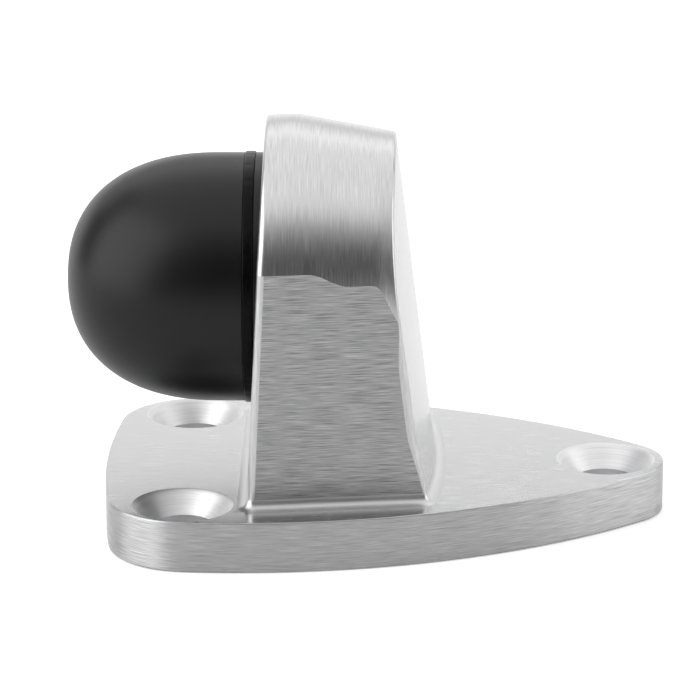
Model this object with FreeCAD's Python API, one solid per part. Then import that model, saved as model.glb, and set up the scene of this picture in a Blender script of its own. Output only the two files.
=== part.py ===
"""Floor door stop: a cored casting that screws to the floor and carries a rubber buffer.

Frame: +Z up, the buffer faces -Y (towards the door), the plate's tip points to +Y, and the
whole stop is symmetric about x = 0. The model is drawn with y = 0 at the middle of the
plate's front edge and is moved once, at the end, so that the origin lies on the floor
under the middle of the whole stop. Lengths are in millimetres and angles in degrees.
"""
import FreeCAD, Part
import math
import os

Vector = FreeCAD.Vector

# ---- base plate -------------------------------------------------------------------
base_length = 68.0
base_width = 48.0
base_thickness = 6.2
front_bow_radius = 120.0
front_corner_radius = 10.0
side_bow_radius = 75.0
top_edge_round = 0.4
floor_edge_chamfer = 0.3

# ---- screw holes in the base plate -------------------------------------------------
screw_hole_diameter = 7.0
countersink_diameter = 12.0
countersink_angle = 90.0
front_hole_setback = 10.0
front_hole_land = 0.6
rear_hole_land = 1.05

# ---- post --------------------------------------------------------------------------
axis_height = 29.3
post_setback = 17.6
post_width = 38.4
front_lean = 2.7
back_lean = 7.0
back_crown_radius = 70.0
side_taper = 7.3
front_edge_round = 0.6
rear_edge_round = 1.2
foot_fillet = 1.2

# ---- round head of the post, centred on the buffer's axis ------------------------------
head_radius = 19.75
head_crest_setback = 5.7
head_front_fall = 4.0
head_rear_fall = 10.3
head_crest_round = 8.0

# ---- hollow core of the post -----------------------------------------------------------
seat_wall = 4.0
back_wall = 3.6
core_half_width = 13.4
core_corner_round = 2.0

# ---- seat and hole for the buffer --------------------------------------------------------
seat_depth_at_top = 0.15
seat_clearance = 0.2
stud_hole_clearance = 0.6
room_behind_stud = 0.6

# ---- rubber buffer -----------------------------------------------------------------------
buffer_diameter = 30.0
buffer_length = 23.9
dome_length = 18.6
dome_fullness = 2.33
rear_lip_thickness = 0.8
rear_edge_chamfer = 0.2
mould_clearance = 0.05

# ---- retaining band -----------------------------------------------------------------------
band_width = 1.25
band_thickness = 0.6
band_stand_out = 0.17
band_setback = 1.2

# ---- mounting plate moulded into the buffer --------------------------------------------------
rubber_over_plate = 2.02
plate_thickness = 2.5
plate_boss_diameter = 14.0

# ---- M6 fastening -----------------------------------------------------------------------------
thread_diameter = 6.0
thread_clearance = 0.05
stud_head_diameter = 12.0
stud_head_thickness = 2.0
stud_end_beyond_nut = 1.4
stud_end_chamfer = 0.8
washer_diameter = 12.0
washer_thickness = 1.6
washer_clearance = 0.4
spring_washer_diameter = 11.4
spring_washer_clearance = 0.3
spring_washer_thickness = 1.6
spring_washer_gap = 1.0
spring_washer_gap_angle = 20.0
nut_across_flats = 10.0
nut_height = 5.0
nut_bevel = 0.2
nut_bevel_angle = 30.0

# ---- places that follow from the sizes above -----------------------------------------------------
ALONG_Y = Vector(0, 1, 0)
FAR = 2.0 * (base_length + axis_height)  # longer than anything in the model
OVERSHOOT = 1.0  # how far a cutting tool runs past what it cuts
TRIM = 5.0  # how far a blank stands past the faces that trim it
NEAR = 0.05  # how near an edge's middle lies to the place that picks it out
buffer_radius = buffer_diameter / 2.0
front_slope = math.tan(math.radians(front_lean))
back_slope = math.tan(math.radians(back_lean))
tip_radius = countersink_diameter / 2.0 + rear_hole_land
rear_hole_y = base_length - tip_radius
front_hole_x = base_width / 2.0 - front_hole_land - countersink_diameter / 2.0


def post_front_y(height):
    """Place of the leaning front face at a height above the floor."""
    return post_setback + (height - base_thickness) * front_slope


def post_back_y(height):
    """Place of the leaning back face's crest at a height above the floor."""
    return post_foot_back - (height - base_thickness) * back_slope


seat_y = post_front_y(axis_height + buffer_radius) + seat_depth_at_top
nose_y = seat_y - buffer_length
core_front_y = seat_y + seat_wall
plate_back_y = seat_y - rear_lip_thickness
plate_front_y = plate_back_y - plate_thickness
band_back_y = seat_y - band_setback
band_front_y = band_back_y - band_width
band_outer_radius = buffer_radius + band_stand_out
band_inner_radius = band_outer_radius - band_thickness
groove_radius = band_inner_radius - mould_clearance
plate_radius = groove_radius - rubber_over_plate
washer_y = core_front_y
spring_washer_y = washer_y + washer_thickness
nut_y = spring_washer_y + spring_washer_thickness
stud_end_y = nut_y + nut_height + stud_end_beyond_nut
back_wall_along_y = back_wall / math.cos(math.radians(back_lean))
post_back_at_axis = stud_end_y + room_behind_stud + back_wall_along_y
post_foot_back = post_back_at_axis + (axis_height - base_thickness) * back_slope
origin_y = (nose_y + base_length) / 2.0


def face_from(edges):
    """Close a list of edges into a flat face."""
    return Part.Face(Part.Wire(edges))


def cylinder_y(radius, y_from, y_to):
    """Cylinder on the buffer's axis between two places along y."""
    return Part.makeCylinder(radius, y_to - y_from, Vector(0, y_from, axis_height), ALONG_Y)


def cone_y(radius_from, radius_to, y_from, y_to):
    """Cone on the buffer's axis between two places along y."""
    return Part.makeCone(radius_from, radius_to, y_to - y_from, Vector(0, y_from, axis_height), ALONG_Y)


def revolve_y(edges):
    """Turn a closed profile, drawn below the axis in the plane x = 0, round the buffer's axis."""
    return face_from(edges).revolve(Vector(0, 0, axis_height), ALONG_Y, 360)


def profile_point(y, radius):
    """Point of a turned profile, straight below the buffer's axis at a radius from it."""
    return Vector(0, y, axis_height - radius)


def rounded_corner(before, corner, after, radius):
    """Arc tangent to the two lines that meet at a corner, with its start and end points."""
    back = (before - corner).normalize()
    ahead = (after - corner).normalize()
    half_angle = back.getAngle(ahead) / 2.0
    start = corner + back * (radius / math.tan(half_angle))
    end = corner + ahead * (radius / math.tan(half_angle))
    inward = (back + ahead).normalize()
    middle = corner + inward * (radius / math.sin(half_angle) - radius)
    return start, Part.Arc(start, middle, end).toShape(), end


def circles_meet(centre_a, radius_a, centre_b, radius_b):
    """Crossing of two circles that lies to the right of the line from centre a to centre b."""
    apart = centre_b - centre_a
    along = (apart.Length ** 2 + radius_a ** 2 - radius_b ** 2) / (2.0 * apart.Length)
    aside = math.sqrt(radius_a ** 2 - along ** 2)
    ahead = Vector(apart).normalize()
    return centre_a + ahead * along + Vector(ahead.y, -ahead.x, 0) * aside


def edges_between(shape, low, high, keep):
    """Edges of a shape whose middle lies between two heights and that pass a test."""
    found = []
    for edge in shape.Edges:
        middle = edge.valueAt((edge.FirstParameter + edge.LastParameter) / 2.0)
        if low <= middle.z <= high and keep(middle):
            found.append(edge)
    return found


def edges_at(shape, height, keep):
    """Edges of a shape whose middle lies at one height and that pass a test."""
    return edges_between(shape, height - NEAR, height + NEAR, keep)


# ------------------------------------------------------------------------------- casting


def base_outline():
    """Shield outline: a bowed front and two bowed sides that meet at the tip, corners still sharp."""
    centre_x = side_bow_radius - base_width / 2.0
    tip_reach = math.sqrt((side_bow_radius - tip_radius) ** 2 - centre_x ** 2)
    widest_y = base_length - tip_radius - tip_reach
    apex = Vector(0, widest_y + math.sqrt(side_bow_radius ** 2 - centre_x ** 2), 0)
    side_centre = Vector(-centre_x, widest_y, 0)
    front_centre = Vector(0, front_bow_radius, 0)
    corner = circles_meet(side_centre, side_bow_radius, front_centre, front_bow_radius)
    between = ((corner - side_centre) + (apex - side_centre)).normalize()
    side_middle = side_centre + between * side_bow_radius
    left_corner = Vector(-corner.x, corner.y, 0)
    left_middle = Vector(-side_middle.x, side_middle.y, 0)
    return face_from([
        Part.Arc(left_corner, Vector(0, 0, 0), corner).toShape(),
        Part.Arc(corner, side_middle, apex).toShape(),
        Part.Arc(apex, left_middle, left_corner).toShape(),
    ])


def base_plate():
    """Flat plate with its corners and edges rounded."""
    plate = base_outline().extrude(Vector(0, 0, base_thickness))
    middle = base_thickness / 2.0
    corners = edges_at(plate, middle, lambda at: at.y < base_length / 2.0)
    plate = plate.makeFillet(front_corner_radius, corners)
    tip = edges_at(plate, middle, lambda at: at.y > base_length)
    plate = plate.makeFillet(tip_radius, tip)
    plate = plate.makeFillet(top_edge_round, edges_at(plate, base_thickness, lambda at: True))
    return plate.makeChamfer(floor_edge_chamfer, edges_at(plate, 0.0, lambda at: True))


def head_blank():
    """Round head: a turned shape that rises to a rounded crest and falls away behind it."""
    crest_y = post_setback + head_crest_setback
    front_y = post_setback - TRIM
    back_y = post_foot_back + TRIM
    front_fall = math.tan(math.radians(head_front_fall))
    rear_fall = math.tan(math.radians(head_rear_fall))
    crest = profile_point(crest_y, head_radius)
    front = profile_point(front_y, head_radius - (crest_y - front_y) * front_fall)
    back = profile_point(back_y, head_radius - (back_y - crest_y) * rear_fall)
    start, arc, end = rounded_corner(front, crest, back, head_crest_round)
    front_on_axis = profile_point(front_y, 0)
    back_on_axis = profile_point(back_y, 0)
    return revolve_y([
        Part.LineSegment(front_on_axis, front).toShape(),
        Part.LineSegment(front, start).toShape(),
        arc,
        Part.LineSegment(end, back).toShape(),
        Part.LineSegment(back, back_on_axis).toShape(),
        Part.LineSegment(back_on_axis, front_on_axis).toShape(),
    ])


def between_the_flats(height):
    """Block between the two side flats, which draw together towards the back."""
    taper = math.tan(math.radians(side_taper))
    y_from = post_setback - TRIM
    y_to = post_foot_back + TRIM
    half_from = post_width / 2.0 + (post_setback - y_from) * taper
    half_to = post_width / 2.0 - (y_to - post_setback) * taper
    plan = Part.makePolygon([
        Vector(-half_from, y_from, 0),
        Vector(half_from, y_from, 0),
        Vector(half_to, y_to, 0),
        Vector(-half_to, y_to, 0),
        Vector(-half_from, y_from, 0),
    ])
    return Part.Face(plan).extrude(Vector(0, 0, height))


def behind_the_front_face():
    """Half space behind the leaning front face of the post."""
    block = Part.makeBox(2.0 * FAR, FAR, 2.0 * FAR, Vector(-FAR, 0, -FAR))
    block.rotate(Vector(0, 0, 0), Vector(1, 0, 0), -front_lean)
    block.translate(Vector(0, post_setback, base_thickness))
    return block


def crowned_back(inset):
    """Leaning cylinder whose rear side is the crowned back face, set in by a wall."""
    radius = back_crown_radius - inset
    block = Part.makeCylinder(radius, 2.0 * FAR, Vector(0, -back_crown_radius, -FAR))
    block.rotate(Vector(0, 0, 0), Vector(1, 0, 0), back_lean)
    block.translate(Vector(0, post_foot_back, base_thickness))
    return block


def post_blank():
    """Solid post: the round head over a column between two flats, with its edges rounded."""
    column = between_the_flats(axis_height)
    blank = column.fuse(head_blank())
    blank = blank.common(between_the_flats(FAR))
    blank = blank.common(behind_the_front_face())
    blank = blank.common(crowned_back(0.0)).removeSplitter()
    return round_post_edges(blank)


def round_post_edges(blank):
    """Round the edges all round the back face, then those all round the front face."""
    def on_back(at):
        crown = back_crown_radius - math.sqrt(back_crown_radius ** 2 - at.x ** 2)
        along_y = crown / math.cos(math.radians(back_lean))
        return abs(at.y + along_y - post_back_y(at.z)) < NEAR

    def on_front(at):
        return abs(at.y - post_front_y(at.z)) < NEAR

    blank = blank.makeFillet(rear_edge_round, edges_between(blank, NEAR, FAR, on_back))
    return blank.makeFillet(front_edge_round, edges_between(blank, NEAR, FAR, on_front))


def post_core():
    """Hollow of the post: an arch open to the floor, with an even wall behind it."""
    y_to = post_foot_back
    arch = cylinder_y(core_half_width, core_front_y, y_to)
    legs = Part.makeBox(
        2.0 * core_half_width, y_to - core_front_y, axis_height + OVERSHOOT,
        Vector(-core_half_width, core_front_y, -OVERSHOOT))
    core = arch.fuse(legs).removeSplitter()
    core = core.common(crowned_back(back_wall_along_y))
    upright = edges_between(core, 0, axis_height, lambda at: abs(abs(at.x) - core_half_width) < NEAR)
    return core.makeFillet(core_corner_round, upright)


def screw_hole(x, y):
    """Clearance hole with a countersink, cut down through the plate."""
    hole = screw_hole_diameter / 2.0
    mouth = countersink_diameter / 2.0
    depth = (mouth - hole) / math.tan(math.radians(countersink_angle / 2.0))
    drill = Part.makeCylinder(hole, base_thickness + OVERSHOOT, Vector(x, y, -OVERSHOOT))
    sink = Part.makeCone(hole, mouth, depth, Vector(x, y, base_thickness - depth))
    clearance = Part.makeCylinder(mouth, OVERSHOOT, Vector(x, y, base_thickness))
    return drill.fuse([sink, clearance])


def casting():
    """Base plate and hollow post in one casting, machined for the screws and the buffer."""
    body = base_plate().fuse(post_blank()).removeSplitter()

    def on_foot(at):
        beside = abs(at.x) < post_width / 2.0 + NEAR
        return beside and post_setback - NEAR < at.y < post_foot_back + NEAR

    body = body.makeFillet(foot_fillet, edges_at(body, base_thickness, on_foot))
    seat = cylinder_y(band_outer_radius + seat_clearance, nose_y, seat_y)
    stud_hole_radius = (thread_diameter + stud_hole_clearance) / 2.0
    stud_hole = cylinder_y(stud_hole_radius, seat_y - OVERSHOOT, core_front_y + OVERSHOOT)
    cuts = [
        post_core(),
        seat,
        stud_hole,
        screw_hole(-front_hole_x, front_hole_setback),
        screw_hole(front_hole_x, front_hole_setback),
        screw_hole(0.0, rear_hole_y),
    ]
    return body.cut(cuts)


# -------------------------------------------------------------------------------- buffer


def dome_edge():
    """Outline of the dome: a superellipse from the nose to the straight side."""
    shoulder_y = nose_y + dome_length
    steps = 16
    points = []
    for step in range(steps + 1):
        angle = math.pi / 2.0 * step / steps
        along = dome_length * math.cos(angle) ** (2.0 / dome_fullness)
        radius = buffer_radius * math.sin(angle) ** (2.0 / dome_fullness)
        points.append(profile_point(shoulder_y - along, radius))
    curve = Part.BSplineCurve()
    curve.interpolate(points, InitialTangent=Vector(0, 0, -1), FinalTangent=Vector(0, 1, 0))
    return curve.toShape()


def rubber_buffer():
    """Domed rubber, moulded round the plate and the stud's head, with a groove for the band."""
    nose = profile_point(nose_y, 0)
    shoulder = profile_point(nose_y + dome_length, buffer_radius)
    rear_corner = profile_point(seat_y - rear_edge_chamfer, buffer_radius)
    rear_edge = profile_point(seat_y, buffer_radius - rear_edge_chamfer)
    rear_middle = profile_point(seat_y, 0)
    rubber = revolve_y([
        dome_edge(),
        Part.LineSegment(shoulder, rear_corner).toShape(),
        Part.LineSegment(rear_corner, rear_edge).toShape(),
        Part.LineSegment(rear_edge, rear_middle).toShape(),
        Part.LineSegment(rear_middle, nose).toShape(),
    ])
    gap = mould_clearance
    outside = cylinder_y(buffer_radius + OVERSHOOT, band_front_y - gap, band_back_y + gap)
    groove = outside.cut(cylinder_y(groove_radius, band_front_y - OVERSHOOT, band_back_y + OVERSHOOT))
    plate_pocket = cylinder_y(plate_radius + gap, plate_front_y - gap, plate_back_y + gap)
    boss_pocket = cylinder_y(plate_boss_diameter / 2.0 + gap, plate_front_y, seat_y + OVERSHOOT)
    head_front_y = plate_front_y - stud_head_thickness
    head_pocket = cylinder_y(stud_head_diameter / 2.0 + gap, head_front_y - gap, plate_front_y)
    return rubber.cut([groove, plate_pocket, boss_pocket, head_pocket])


def retaining_band():
    """Thin steel band that holds the rubber's rear lip on the plate."""
    ring = cylinder_y(band_outer_radius, band_front_y, band_back_y)
    return ring.cut(cylinder_y(band_inner_radius, band_front_y - OVERSHOOT, band_back_y + OVERSHOOT))


def mounting_plate():
    """Steel plate inside the rubber, with a raised boss that bears on the casting's seat."""
    disc = cylinder_y(plate_radius, plate_front_y, plate_back_y)
    boss = cylinder_y(plate_boss_diameter / 2.0, plate_front_y, seat_y)
    bore_radius = thread_diameter / 2.0 + thread_clearance
    bore = cylinder_y(bore_radius, plate_front_y - OVERSHOOT, seat_y + OVERSHOOT)
    return disc.fuse(boss).removeSplitter().cut(bore)


def buffer_stud():
    """Flat-headed M6 stud, its head moulded into the rubber and its end chamfered."""
    head_front_y = plate_front_y - stud_head_thickness
    head = cylinder_y(stud_head_diameter / 2.0, head_front_y, plate_front_y)
    shank = cylinder_y(thread_diameter / 2.0, head_front_y, stud_end_y - stud_end_chamfer)
    end_radius = thread_diameter / 2.0 - stud_end_chamfer
    end = cone_y(thread_diameter / 2.0, end_radius, stud_end_y - stud_end_chamfer, stud_end_y)
    return head.fuse([shank, end]).removeSplitter()


# --------------------------------------------------------------------------- nut and washers


def plain_washer():
    """Flat washer against the inside of the post's front wall."""
    y_to = washer_y + washer_thickness
    hole_radius = (thread_diameter + washer_clearance) / 2.0
    disc = cylinder_y(washer_diameter / 2.0, washer_y, y_to)
    return disc.cut(cylinder_y(hole_radius, washer_y - OVERSHOOT, y_to + OVERSHOOT))


def spring_washer():
    """Split spring washer, drawn tight, with its slanted gap at the bottom."""
    y_to = spring_washer_y + spring_washer_thickness
    hole_radius = (thread_diameter + spring_washer_clearance) / 2.0
    ring = cylinder_y(spring_washer_diameter / 2.0, spring_washer_y, y_to)
    ring = ring.cut(cylinder_y(hole_radius, spring_washer_y - OVERSHOOT, y_to + OVERSHOOT))
    reach = spring_washer_diameter
    slot = Part.makeBox(
        spring_washer_gap, 2.0 * reach, reach, Vector(-spring_washer_gap / 2.0, -reach, -reach))
    slot.rotate(Vector(0, 0, 0), Vector(0, 0, 1), spring_washer_gap_angle)
    slot.translate(Vector(0, (spring_washer_y + y_to) / 2.0, axis_height))
    return ring.cut(slot)


def hex_nut():
    """Hexagon nut with both faces bevelled at the corners."""
    sides = 6
    y_to = nut_y + nut_height
    corner_radius = nut_across_flats / 2.0 / math.cos(math.pi / sides)
    corners = []
    for index in range(sides + 1):
        angle = 2.0 * math.pi * index / sides
        corner = Vector(corner_radius * math.cos(angle), nut_y, corner_radius * math.sin(angle))
        corners.append(corner + Vector(0, 0, axis_height))
    nut = Part.Face(Part.makePolygon(corners)).extrude(Vector(0, nut_height, 0))
    face_radius = nut_across_flats / 2.0 - nut_bevel
    far_radius = face_radius + nut_height / math.tan(math.radians(nut_bevel_angle))
    nut = nut.common(cone_y(face_radius, far_radius, nut_y, y_to))
    nut = nut.common(cone_y(far_radius, face_radius, nut_y, y_to))
    bore_radius = thread_diameter / 2.0 + thread_clearance
    return nut.cut(cylinder_y(bore_radius, nut_y - OVERSHOOT, y_to + OVERSHOOT))


# -------------------------------------------------------------------------------- output

nodes = {
    "body_casting": casting(),
    "rubber_buffer": rubber_buffer(),
    "retaining_band": retaining_band(),
    "mounting_plate": mounting_plate(),
    "buffer_stud": buffer_stud(),
    "plain_washer": plain_washer(),
    "spring_washer": spring_washer(),
    "hex_nut": hex_nut(),
}

os.makedirs("parts", exist_ok=True)
for name, shape in nodes.items():
    shape.translate(Vector(0, -origin_y, 0))
    shape.exportStep("parts/" + name + ".step")
    size = shape.BoundBox
    print(name, shape.isValid(), len(shape.Solids), "solids", round(shape.Volume, 1), "mm3")
    print("   x", round(size.XMin, 2), round(size.XMax, 2), "y", round(size.YMin, 2), round(size.YMax, 2),
          "z", round(size.ZMin, 2), round(size.ZMax, 2))
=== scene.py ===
"""Floor door stop, dressed: a brushed casting, a domed rubber buffer and its hidden fastening.

Each new piece is a set of patches. A patch is a surface worked out in millimetres in the stop's
drawing frame, where y = 0 is the plate's front edge, z = 0 the floor and x = 0 the mirror plane.
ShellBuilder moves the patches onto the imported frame, welds their seams and makes one closed mesh.
"""
import logging
import math
from dataclasses import dataclass, field
from enum import Enum
from typing import Callable

import bmesh
import bpy
import numpy as np
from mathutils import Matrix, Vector
from mathutils.geometry import delaunay_2d_cdt


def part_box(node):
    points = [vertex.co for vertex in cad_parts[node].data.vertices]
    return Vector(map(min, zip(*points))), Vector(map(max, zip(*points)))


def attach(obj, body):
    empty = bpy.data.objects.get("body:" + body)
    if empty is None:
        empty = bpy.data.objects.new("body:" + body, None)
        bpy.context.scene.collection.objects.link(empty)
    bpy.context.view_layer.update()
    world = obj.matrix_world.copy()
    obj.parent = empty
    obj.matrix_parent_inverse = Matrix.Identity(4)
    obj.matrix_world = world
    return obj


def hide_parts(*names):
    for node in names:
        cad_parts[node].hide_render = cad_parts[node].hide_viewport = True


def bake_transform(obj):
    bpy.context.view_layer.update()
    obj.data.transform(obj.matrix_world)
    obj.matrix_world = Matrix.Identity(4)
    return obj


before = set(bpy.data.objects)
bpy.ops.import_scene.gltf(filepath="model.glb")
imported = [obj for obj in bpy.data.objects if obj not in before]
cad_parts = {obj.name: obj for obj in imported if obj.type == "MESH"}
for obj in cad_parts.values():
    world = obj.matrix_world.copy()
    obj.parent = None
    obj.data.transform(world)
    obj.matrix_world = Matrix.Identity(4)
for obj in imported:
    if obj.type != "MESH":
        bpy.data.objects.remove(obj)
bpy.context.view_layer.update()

logging.basicConfig(level=logging.INFO, format="%(name)s: %(message)s")
log = logging.getLogger("door_stop")

MM = 0.001  # metres in a millimetre
WELD = 0.002 * MM  # points nearer than this are one point
SAME_POINT = 1e-7  # the same for the triangulation of a flat region, in millimetres


# ------------------------------------------------------------------------------- small tools


def linear(hex_colour: str) -> tuple[float, float, float, float]:
    """Turn an sRGB hex colour into the linear colour that shaders take.

    Args:
        hex_colour: six hexadecimal digits, red first.

    Returns:
        Linear red, green and blue, and an alpha of 1.
    """
    shares = [int(hex_colour[i:i + 2], 16) / 255.0 for i in (0, 2, 4)]
    curved = [c / 12.92 if c <= 0.04045 else ((c + 0.055) / 1.055) ** 2.4 for c in shares]
    return (*curved, 1.0)


def add(tree: bpy.types.NodeTree, kind: str, inputs: dict | None = None, **settings) -> bpy.types.Node:
    """Add a node with its settings, its constant inputs and its incoming links.

    Args:
        tree: the node tree that gets the node.
        kind: Blender's name of the node type, without ShaderNode.
        inputs: value of each input by name or number; an output socket is linked, anything else is set.
        settings: properties of the node itself.

    Returns:
        The new node.
    """
    node = tree.nodes.new("ShaderNode" + kind)
    for name, value in settings.items():
        setattr(node, name, value)
    for key, value in (inputs or {}).items():
        if isinstance(value, bpy.types.NodeSocket):
            tree.links.new(value, node.inputs[key])
        else:
            node.inputs[key].default_value = value
    return node


def new_material(name: str) -> tuple[bpy.types.Material, bpy.types.NodeTree]:
    """Make an empty node material.

    Args:
        name: what the material is and how its surface was made.

    Returns:
        The material and its cleared node tree.
    """
    material = bpy.data.materials.new(name)
    material.use_nodes = True
    material.node_tree.nodes.clear()
    return material, material.node_tree


def unit(vectors: np.ndarray) -> np.ndarray:
    """Each vector divided by its own length."""
    return vectors / np.maximum(np.linalg.norm(vectors, axis=-1, keepdims=True), 1e-12)


def corner_arc(a: np.ndarray, corner: np.ndarray, b: np.ndarray, steps: int) -> np.ndarray:
    """Circular arcs that start at a, end at b and are tangent to both legs of a corner.

    The arc is the rational quadratic ((1-t)^2 a + 2t(1-t)w corner + t^2 b) / (the same weights),
    where w is the cosine of half the turn. It is a true circle when both legs are equally long.

    Args:
        a: start points, (n, 3).
        corner: where the legs meet, (n, 3).
        b: end points, (n, 3).
        steps: segments along each arc.

    Returns:
        Points, (n, steps + 1, 3).
    """
    cosine = (unit(corner - a) * unit(b - corner)).sum(-1)
    w = np.sqrt((1.0 + np.clip(cosine, -1.0, 1.0)) / 2.0)[:, None, None]
    t = np.linspace(0.0, 1.0, steps + 1)[None, :, None]
    start, middle, end = (1 - t) ** 2, 2 * t * (1 - t) * w, t ** 2
    top = start * a[:, None] + middle * corner[:, None] + end * b[:, None]
    return top / (start + middle + end)


def running_length(points: np.ndarray) -> np.ndarray:
    """Distance along a line of points, starting at 0."""
    steps = np.linalg.norm(np.diff(points, axis=0), axis=1)
    return np.concatenate([[0.0], np.cumsum(steps)])


def ramp(value: np.ndarray, low: float, high: float) -> np.ndarray:
    """Smooth step from 0 at low to 1 at high: 3 t^2 - 2 t^3."""
    t = np.clip((value - low) / (high - low), 0.0, 1.0)
    return t * t * (3.0 - 2.0 * t)


def inside(loop: np.ndarray, points: np.ndarray) -> np.ndarray:
    """Tell which points lie inside a closed outline, by counting the sides that a ray crosses.

    Args:
        loop: outline, (n, 2).
        points: points to test, (m, 2).

    Returns:
        True for each point that is inside, (m,).
    """
    a, b = loop, np.roll(loop, -1, axis=0)
    x, y = points[:, 0:1], points[:, 1:2]
    spans = (a[:, 1] > y) != (b[:, 1] > y)
    rise = np.where(spans, b[:, 1] - a[:, 1], 1.0)
    crossing = a[:, 0] + (y - a[:, 1]) * (b[:, 0] - a[:, 0]) / rise
    return (spans & (x < crossing)).sum(axis=1) % 2 == 1


# ------------------------------------------------------------------------------- patches


@dataclass
class Patch:
    """One stretch of surface.

    Args:
        points: places in millimetres, (n, 3).
        faces: corners of each face, (m, 3) or (m, 4).
        brush: for each point, how far it lies across and along the brushing, in millimetres, (n, 2).
        finish: number of the material.
    """

    points: np.ndarray
    faces: np.ndarray
    brush: np.ndarray
    finish: int


def grid(points: np.ndarray, brush: np.ndarray, finish: int) -> Patch:
    """Quads over a grid of points.

    Args:
        points: (rows, columns, 3).
        brush: (rows, columns, 2).
        finish: number of the material.

    Returns:
        The patch.
    """
    rows, columns = points.shape[:2]
    index = np.arange(rows * columns).reshape(rows, columns)
    corners = [index[:-1, :-1], index[:-1, 1:], index[1:, 1:], index[1:, :-1]]
    faces = np.stack([c.ravel() for c in corners], axis=1)
    return Patch(points.reshape(-1, 3), faces, brush.reshape(-1, 2), finish)


def turned(profile: np.ndarray, centre: np.ndarray, axis: int, finish: int, steps: int) -> Patch:
    """Turn a profile round an axis: a point is centre + radius (cos a, sin a) + distance along.

    Args:
        profile: distance along the axis and radius of each point, (n, 2).
        centre: a point on the axis.
        axis: 1 for an axis along y, 2 for one along z.
        finish: number of the material.
        steps: segments in a full turn.

    Returns:
        The patch, brushed round the axis.
    """
    angle = np.linspace(0.0, 2.0 * math.pi, steps + 1)[:, None]
    along, radius = profile[None, :, 0], profile[None, :, 1]
    points = np.empty((steps + 1, len(profile), 3))
    points[..., 0] = centre[0] + radius * np.cos(angle)
    points[..., 3 - axis] = centre[3 - axis] + radius * np.sin(angle)
    points[..., axis] = centre[axis] + along
    across = running_length(profile)[None, :] + 0.0 * angle
    return grid(points, np.stack([across, angle * radius.max() + 0.0 * radius], axis=-1), finish)


def reshape(patch: Patch, centre: np.ndarray, radius: Callable[..., np.ndarray]) -> Patch:
    """Move each point of a patch turned about y to a new distance from the axis.

    Args:
        patch: the patch.
        centre: a point on the axis.
        radius: gives the new distances from the angles, the places along y and the old distances.

    Returns:
        The reshaped patch.
    """
    offset = patch.points - centre
    old = np.hypot(offset[:, 0], offset[:, 2])
    share = radius(np.arctan2(offset[:, 2], offset[:, 0]), patch.points[:, 1], old) / old
    moved = centre + offset * np.stack([share, np.ones_like(share), share], axis=-1)
    return Patch(moved, patch.faces, patch.brush, patch.finish)


def flat_region(
    loops: list[np.ndarray], lift: Callable[[np.ndarray], np.ndarray], along: int, finish: int,
) -> Patch:
    """Triangles between an outline and its holes, in a plane.

    Args:
        loops: the outline first and then each hole, (n, 2) each, without a repeated last point.
        lift: gives the (n, 3) places of (n, 2) points.
        along: which of the two plane coordinates runs along the brushing.
        finish: number of the material.

    Returns:
        The patch.
    """
    flat, edges, start = np.concatenate(loops), [], 0
    for loop in loops:
        index = np.arange(start, start + len(loop))
        edges.append(np.stack([index, np.roll(index, -1)], axis=1))
        start += len(loop)
    made = delaunay_2d_cdt(flat.tolist(), np.concatenate(edges).tolist(), [], 0, SAME_POINT)
    points, faces = np.array(made[0]), np.array(made[2])
    middle = points[faces].mean(axis=1)
    keep = inside(loops[0], middle)
    for hole in loops[1:]:
        keep &= ~inside(hole, middle)
    brush = points[:, [1 - along, along]]
    return Patch(lift(points), faces[keep], brush, finish)


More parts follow.
